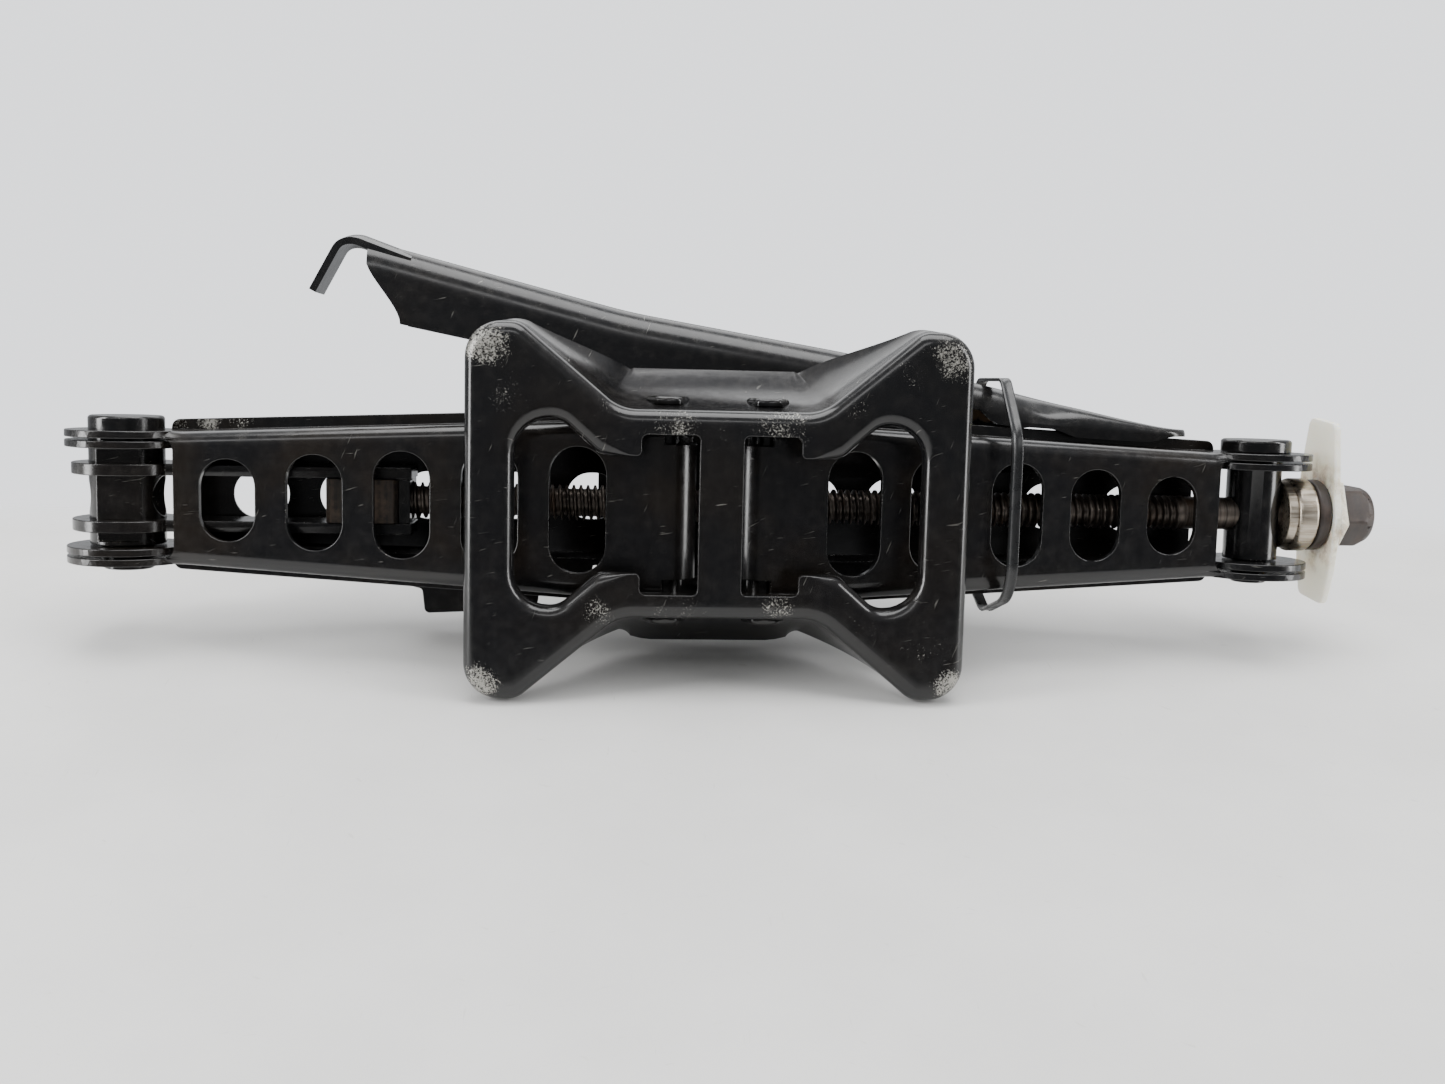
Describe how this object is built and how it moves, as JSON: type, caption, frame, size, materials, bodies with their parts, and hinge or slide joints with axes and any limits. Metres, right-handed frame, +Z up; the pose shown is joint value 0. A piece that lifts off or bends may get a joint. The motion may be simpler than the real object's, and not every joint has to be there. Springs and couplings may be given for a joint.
{
  "type": "scissor jack",
  "caption": "Folded screw-driven scissor jack in black paint, with its stamped wheel wrench held to it by a cable tie.",
  "frame": {"origin": "centre of the bounding box at the surface the jack lies on", "axes": "+X along the lead screw towards the drive hexagon; the foot faces -Y and leans back by the angle at which the folded jack lies on its side; +Z up"},
  "size_m": [0.4699, 0.1224, 0.1411],
  "materials": {
    "black_paint": "glossy",
    "screw_steel": "oiled",
    "bare_steel": "satin",
    "phosphate_steel": "satin",
    "clear_nylon": "satin",
    "black_nylon": "satin"
  },
  "bodies": {
    "base": {"base_plate": "black_paint", "base_pin_left": "black_paint", "base_pin_right": "black_paint"},
    "lower_left": {"lower_arm_left": "black_paint"},
    "lower_right": {"lower_arm_right": "black_paint", "cable_tie_strap": "black_nylon", "cable_tie_head": "black_nylon"},
    "upper_left": {"upper_arm_left": "black_paint", "stowage_bracket": "black_paint"},
    "upper_right": {"upper_arm_right": "black_paint"},
    "saddle": {"saddle_plate": "black_paint", "saddle_pad": "black_paint", "saddle_pin_left": "black_paint", "saddle_pin_right": "black_paint"},
    "nut_end": {"trunnion_left": "black_paint", "nut_bracket_plates": "black_paint", "nut_bracket_web": "black_paint", "drive_nut": "screw_steel"},
    "drive_end": {"trunnion_right": "black_paint", "thrust_seat": "bare_steel", "thrust_collar": "bare_steel"},
    "screw": {"lead_screw": "screw_steel", "drive_head": "phosphate_steel", "screw_guard": "clear_nylon"},
    "wrench": {"wrench_handle": "black_paint", "wrench_socket": "black_paint"}
  },
  "joints": [
    {"name": "lift", "type": "hinge", "parent": "base", "child": "lower_left", "pos_m": [-0.02875, -0.02483, 0.05692], "axis": [0, -0.2528, -0.9675], "range_deg": [0, 52.6]},
    {"name": "lower_right_swing", "type": "hinge", "parent": "base", "child": "lower_right", "pos_m": [0.00565, -0.02483, 0.05692], "axis": [0, 0.2528, 0.9675], "range_deg": [0, 53], "deforming": ["cable_tie_strap", "cable_tie_head"]},
    {"name": "nut_end_level", "type": "hinge", "parent": "lower_left", "child": "nut_end", "pos_m": [-0.21495, -0.00161, 0.05086], "axis": [0, 0.2528, 0.9675], "range_deg": [0, 53]},
    {"name": "drive_end_level", "type": "hinge", "parent": "lower_right", "child": "drive_end", "pos_m": [0.19185, -0.00161, 0.05086], "axis": [0, -0.2528, -0.9675], "range_deg": [0, 53]},
    {"name": "upper_left_swing", "type": "hinge", "parent": "lower_left", "child": "upper_left", "pos_m": [-0.21495, -0.00161, 0.05086], "axis": [0, 0.2528, 0.9675], "range_deg": [0, 106]},
    {"name": "upper_right_swing", "type": "hinge", "parent": "lower_right", "child": "upper_right", "pos_m": [0.19185, -0.00161, 0.05086], "axis": [0, -0.2528, -0.9675], "range_deg": [0, 106]},
    {"name": "saddle_level", "type": "hinge", "parent": "upper_left", "child": "saddle", "pos_m": [-0.02875, 0.02161, 0.04479], "axis": [0, -0.2528, -0.9675], "range_deg": [0, 53]},
    {"name": "screw_turn", "type": "hinge", "parent": "drive_end", "child": "screw", "pos_m": [0.19185, -0.00161, 0.05086], "axis": [1, 0, 0], "continuous": true},
    {"name": "wrench_draw", "type": "slide", "parent": "base", "child": "wrench", "axis": [-0.9703, 0.0612, 0.2341], "range_m": [0, 0.115]}
  ],
  "couplings": [
    {"joint": "lower_right_swing", "follows": "lift", "ratio": 1},
    {"joint": "nut_end_level", "follows": "lift", "ratio": 1},
    {"joint": "drive_end_level", "follows": "lift", "ratio": 1},
    {"joint": "upper_left_swing", "follows": "lift", "ratio": 2},
    {"joint": "upper_right_swing", "follows": "lift", "ratio": 2},
    {"joint": "saddle_level", "follows": "lift", "ratio": 1}
  ]
}
